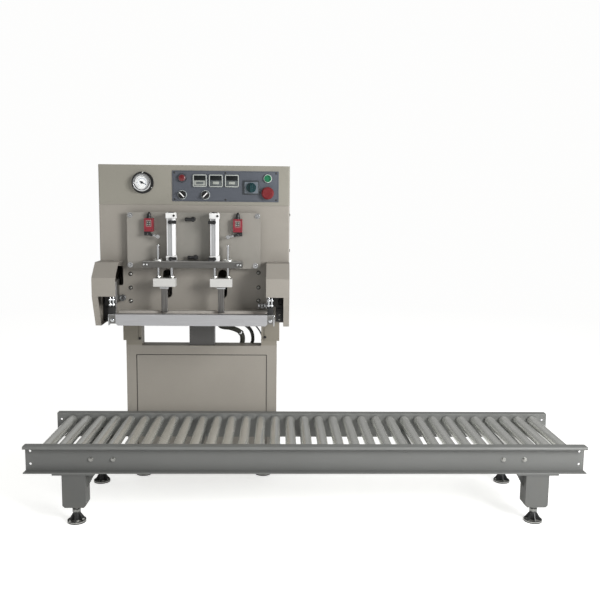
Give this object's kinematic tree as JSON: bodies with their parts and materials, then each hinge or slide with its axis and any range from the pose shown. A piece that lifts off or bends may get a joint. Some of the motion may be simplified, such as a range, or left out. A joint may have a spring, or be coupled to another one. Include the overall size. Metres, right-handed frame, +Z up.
{
  "type": "bag sealing machine",
  "caption": "Vacuum bag sealing machine: a head with sealing jaws and flat nozzles slides on posts of a base cabinet, behind a long gravity roller conveyor on legs with levelling feet.",
  "frame": {"origin": "on the floor, under the middle of the overall length and depth", "axes": "+X along the conveyor to the operator's right, +Y from the operator towards the machine's back, +Z up"},
  "size_m": [2.56, 1.0464, 1.631],
  "materials": {
    "frame_grey": "satin dark grey paint",
    "steel": "plain drawn",
    "foot_black": "moulded",
    "sand_paint": "fine powder coat",
    "machine_grey": "satin",
    "dark_steel": "dark satin",
    "hose_rubber": "matt",
    "plate_grey": "satin",
    "cylinder_alloy": "anodised",
    "jaw_alloy": "milled",
    "nozzle_plastic": "machined",
    "switch_red": "moulded",
    "bright_steel": "plated",
    "panel_silver": "fine brushed",
    "green_plastic": "moulded",
    "red_plastic": "moulded",
    "black_plastic": "moulded",
    "needle_paint": "matt",
    "roller_zinc": "zinc plated"
  },
  "bodies": {
    "stand": {"conveyor_frame": "frame_grey", "roller_axles": "steel", "levelling_feet": "foot_black", "base_cabinet": "sand_paint", "access_panel": "sand_paint", "vacuum_pump": "machine_grey", "lift_column": "dark_steel", "vacuum_hoses": "hose_rubber"},
    "head": {"head_housing": "sand_paint", "side_covers": "sand_paint", "cylinder_plate": "plate_grey", "air_cylinders": "cylinder_alloy", "rear_jaw": "jaw_alloy", "limit_switches": "switch_red", "control_panel": "panel_silver", "vacuum_gauge": "black_plastic"},
    "front_jaw": {"front_jaw": "jaw_alloy"},
    "left_nozzle": {"left_nozzle": "nozzle_plastic"},
    "right_nozzle": {"right_nozzle": "nozzle_plastic"},
    "left_switch_lever": {"left_switch_lever": "bright_steel"},
    "right_switch_lever": {"right_switch_lever": "bright_steel"},
    "start_button": {"start_button": "green_plastic"},
    "emergency_stop": {"emergency_stop": "red_plastic"},
    "left_selector": {"left_selector": "black_plastic"},
    "right_selector": {"right_selector": "black_plastic"},
    "main_switch": {"main_switch": "black_plastic"},
    "gauge_needle": {"gauge_needle": "needle_paint"},
    "roller_01": {"roller_01": "roller_zinc"},
    "roller_02": {"roller_02": "roller_zinc"},
    "roller_03": {"roller_03": "roller_zinc"},
    "roller_04": {"roller_04": "roller_zinc"},
    "roller_05": {"roller_05": "roller_zinc"},
    "roller_06": {"roller_06": "roller_zinc"},
    "roller_07": {"roller_07": "roller_zinc"},
    "roller_08": {"roller_08": "roller_zinc"},
    "roller_09": {"roller_09": "roller_zinc"},
    "roller_10": {"roller_10": "roller_zinc"},
    "roller_11": {"roller_11": "roller_zinc"},
    "roller_12": {"roller_12": "roller_zinc"},
    "roller_13": {"roller_13": "roller_zinc"},
    "roller_14": {"roller_14": "roller_zinc"},
    "roller_15": {"roller_15": "roller_zinc"},
    "roller_16": {"roller_16": "roller_zinc"},
    "roller_17": {"roller_17": "roller_zinc"},
    "roller_18": {"roller_18": "roller_zinc"},
    "roller_19": {"roller_19": "roller_zinc"},
    "roller_20": {"roller_20": "roller_zinc"},
    "roller_21": {"roller_21": "roller_zinc"},
    "roller_22": {"roller_22": "roller_zinc"},
    "roller_23": {"roller_23": "roller_zinc"},
    "roller_24": {"roller_24": "roller_zinc"},
    "roller_25": {"roller_25": "roller_zinc"},
    "roller_26": {"roller_26": "roller_zinc"},
    "roller_27": {"roller_27": "roller_zinc"},
    "roller_28": {"roller_28": "roller_zinc"},
    "roller_29": {"roller_29": "roller_zinc"},
    "roller_30": {"roller_30": "roller_zinc"},
    "roller_31": {"roller_31": "roller_zinc"},
    "roller_32": {"roller_32": "roller_zinc"},
    "roller_33": {"roller_33": "roller_zinc"}
  },
  "joints": [
    {"name": "head_lift", "type": "slide", "parent": "stand", "child": "head", "axis": [0, 0, 1], "range_m": [0, 0.12], "deforming": ["vacuum_hoses"]},
    {"name": "jaw_slide", "type": "slide", "parent": "head", "child": "front_jaw", "axis": [0, 1, 0], "range_m": [0, 0.0355]},
    {"name": "left_nozzle_slide", "type": "slide", "parent": "head", "child": "left_nozzle", "axis": [0, 0, 1], "range_m": [-0.06, 0.0285]},
    {"name": "right_nozzle_slide", "type": "slide", "parent": "head", "child": "right_nozzle", "axis": [0, 0, 1], "range_m": [-0.06, 0.0285]},
    {"name": "left_lever_hinge", "type": "hinge", "parent": "head", "child": "left_switch_lever", "pos_m": [-0.7525, -0.28385, 1.313], "axis": [0, -1, 0], "range_deg": [0, 12], "stiffness_Nm_per_rad": 0.1, "springref_deg": -11.46},
    {"name": "right_lever_hinge", "type": "hinge", "parent": "head", "child": "right_switch_lever", "pos_m": [-0.3195, -0.28385, 1.313], "axis": [0, 1, 0], "range_deg": [0, 12], "stiffness_Nm_per_rad": 0.1, "springref_deg": -11.46},
    {"name": "start_press", "type": "slide", "parent": "head", "child": "start_button", "axis": [0, 1, 0], "range_m": [0, 0.004], "stiffness_N_per_m": 400, "springref_m": -0.002},
    {"name": "stop_press", "type": "slide", "parent": "head", "child": "emergency_stop", "axis": [0, 1, 0], "range_m": [0, 0.006]},
    {"name": "left_selector_turn", "type": "hinge", "parent": "head", "child": "left_selector", "pos_m": [-0.593, -0.21985, 1.4935], "axis": [0, -1, 0], "range_deg": [-90, 0]},
    {"name": "right_selector_turn", "type": "hinge", "parent": "head", "child": "right_selector", "pos_m": [-0.484, -0.21985, 1.4935], "axis": [0, -1, 0], "range_deg": [0, 90]},
    {"name": "main_switch_turn", "type": "hinge", "parent": "head", "child": "main_switch", "pos_m": [-0.269, -0.21985, 1.5295], "axis": [0, -1, 0], "range_deg": [-90, 0]},
    {"name": "needle_turn", "type": "hinge", "parent": "head", "child": "gauge_needle", "pos_m": [-0.777, -0.24085, 1.548], "axis": [0, -1, 0], "range_deg": [0, 250], "stiffness_Nm_per_rad": 0.0005, "springref_deg": -17.19},
    {"name": "roller_01_turn", "type": "hinge", "parent": "stand", "child": "roller_01", "pos_m": [-1.2, -0.22515, 0.333], "axis": [0, 1, 0], "continuous": true},
    {"name": "roller_02_turn", "type": "hinge", "parent": "stand", "child": "roller_02", "pos_m": [-1.125, -0.22515, 0.333], "axis": [0, 1, 0], "continuous": true},
    {"name": "roller_03_turn", "type": "hinge", "parent": "stand", "child": "roller_03", "pos_m": [-1.05, -0.22515, 0.333], "axis": [0, 1, 0], "continuous": true},
    {"name": "roller_04_turn", "type": "hinge", "parent": "stand", "child": "roller_04", "pos_m": [-0.975, -0.22515, 0.333], "axis": [0, 1, 0], "continuous": true},
    {"name": "roller_05_turn", "type": "hinge", "parent": "stand", "child": "roller_05", "pos_m": [-0.9, -0.22515, 0.333], "axis": [0, 1, 0], "continuous": true},
    {"name": "roller_06_turn", "type": "hinge", "parent": "stand", "child": "roller_06", "pos_m": [-0.825, -0.22515, 0.333], "axis": [0, 1, 0], "continuous": true},
    {"name": "roller_07_turn", "type": "hinge", "parent": "stand", "child": "roller_07", "pos_m": [-0.75, -0.22515, 0.333], "axis": [0, 1, 0], "continuous": true},
    {"name": "roller_08_turn", "type": "hinge", "parent": "stand", "child": "roller_08", "pos_m": [-0.675, -0.22515, 0.333], "axis": [0, 1, 0], "continuous": true},
    {"name": "roller_09_turn", "type": "hinge", "parent": "stand", "child": "roller_09", "pos_m": [-0.6, -0.22515, 0.333], "axis": [0, 1, 0], "continuous": true},
    {"name": "roller_10_turn", "type": "hinge", "parent": "stand", "child": "roller_10", "pos_m": [-0.525, -0.22515, 0.333], "axis": [0, 1, 0], "continuous": true},
    {"name": "roller_11_turn", "type": "hinge", "parent": "stand", "child": "roller_11", "pos_m": [-0.45, -0.22515, 0.333], "axis": [0, 1, 0], "continuous": true},
    {"name": "roller_12_turn", "type": "hinge", "parent": "stand", "child": "roller_12", "pos_m": [-0.375, -0.22515, 0.333], "axis": [0, 1, 0], "continuous": true},
    {"name": "roller_13_turn", "type": "hinge", "parent": "stand", "child": "roller_13", "pos_m": [-0.3, -0.22515, 0.333], "axis": [0, 1, 0], "continuous": true},
    {"name": "roller_14_turn", "type": "hinge", "parent": "stand", "child": "roller_14", "pos_m": [-0.225, -0.22515, 0.333], "axis": [0, 1, 0], "continuous": true},
    {"name": "roller_15_turn", "type": "hinge", "parent": "stand", "child": "roller_15", "pos_m": [-0.15, -0.22515, 0.333], "axis": [0, 1, 0], "continuous": true},
    {"name": "roller_16_turn", "type": "hinge", "parent": "stand", "child": "roller_16", "pos_m": [-0.075, -0.22515, 0.333], "axis": [0, 1, 0], "continuous": true},
    {"name": "roller_17_turn", "type": "hinge", "parent": "stand", "child": "roller_17", "pos_m": [0, -0.22515, 0.333], "axis": [0, 1, 0], "continuous": true},
    {"name": "roller_18_turn", "type": "hinge", "parent": "stand", "child": "roller_18", "pos_m": [0.075, -0.22515, 0.333], "axis": [0, 1, 0], "continuous": true},
    {"name": "roller_19_turn", "type": "hinge", "parent": "stand", "child": "roller_19", "pos_m": [0.15, -0.22515, 0.333], "axis": [0, 1, 0], "continuous": true},
    {"name": "roller_20_turn", "type": "hinge", "parent": "stand", "child": "roller_20", "pos_m": [0.225, -0.22515, 0.333], "axis": [0, 1, 0], "continuous": true},
    {"name": "roller_21_turn", "type": "hinge", "parent": "stand", "child": "roller_21", "pos_m": [0.3, -0.22515, 0.333], "axis": [0, 1, 0], "continuous": true},
    {"name": "roller_22_turn", "type": "hinge", "parent": "stand", "child": "roller_22", "pos_m": [0.375, -0.22515, 0.333], "axis": [0, 1, 0], "continuous": true},
    {"name": "roller_23_turn", "type": "hinge", "parent": "stand", "child": "roller_23", "pos_m": [0.45, -0.22515, 0.333], "axis": [0, 1, 0], "continuous": true},
    {"name": "roller_24_turn", "type": "hinge", "parent": "stand", "child": "roller_24", "pos_m": [0.525, -0.22515, 0.333], "axis": [0, 1, 0], "continuous": true},
    {"name": "roller_25_turn", "type": "hinge", "parent": "stand", "child": "roller_25", "pos_m": [0.6, -0.22515, 0.333], "axis": [0, 1, 0], "continuous": true},
    {"name": "roller_26_turn", "type": "hinge", "parent": "stand", "child": "roller_26", "pos_m": [0.675, -0.22515, 0.333], "axis": [0, 1, 0], "continuous": true},
    {"name": "roller_27_turn", "type": "hinge", "parent": "stand", "child": "roller_27", "pos_m": [0.75, -0.22515, 0.333], "axis": [0, 1, 0], "continuous": true},
    {"name": "roller_28_turn", "type": "hinge", "parent": "stand", "child": "roller_28", "pos_m": [0.825, -0.22515, 0.333], "axis": [0, 1, 0], "continuous": true},
    {"name": "roller_29_turn", "type": "hinge", "parent": "stand", "child": "roller_29", "pos_m": [0.9, -0.22515, 0.333], "axis": [0, 1, 0], "continuous": true},
    {"name": "roller_30_turn", "type": "hinge", "parent": "stand", "child": "roller_30", "pos_m": [0.975, -0.22515, 0.333], "axis": [0, 1, 0], "continuous": true},
    {"name": "roller_31_turn", "type": "hinge", "parent": "stand", "child": "roller_31", "pos_m": [1.05, -0.22515, 0.333], "axis": [0, 1, 0], "continuous": true},
    {"name": "roller_32_turn", "type": "hinge", "parent": "stand", "child": "roller_32", "pos_m": [1.125, -0.22515, 0.333], "axis": [0, 1, 0], "continuous": true},
    {"name": "roller_33_turn", "type": "hinge", "parent": "stand", "child": "roller_33", "pos_m": [1.2, -0.22515, 0.333], "axis": [0, 1, 0], "continuous": true}
  ]
}
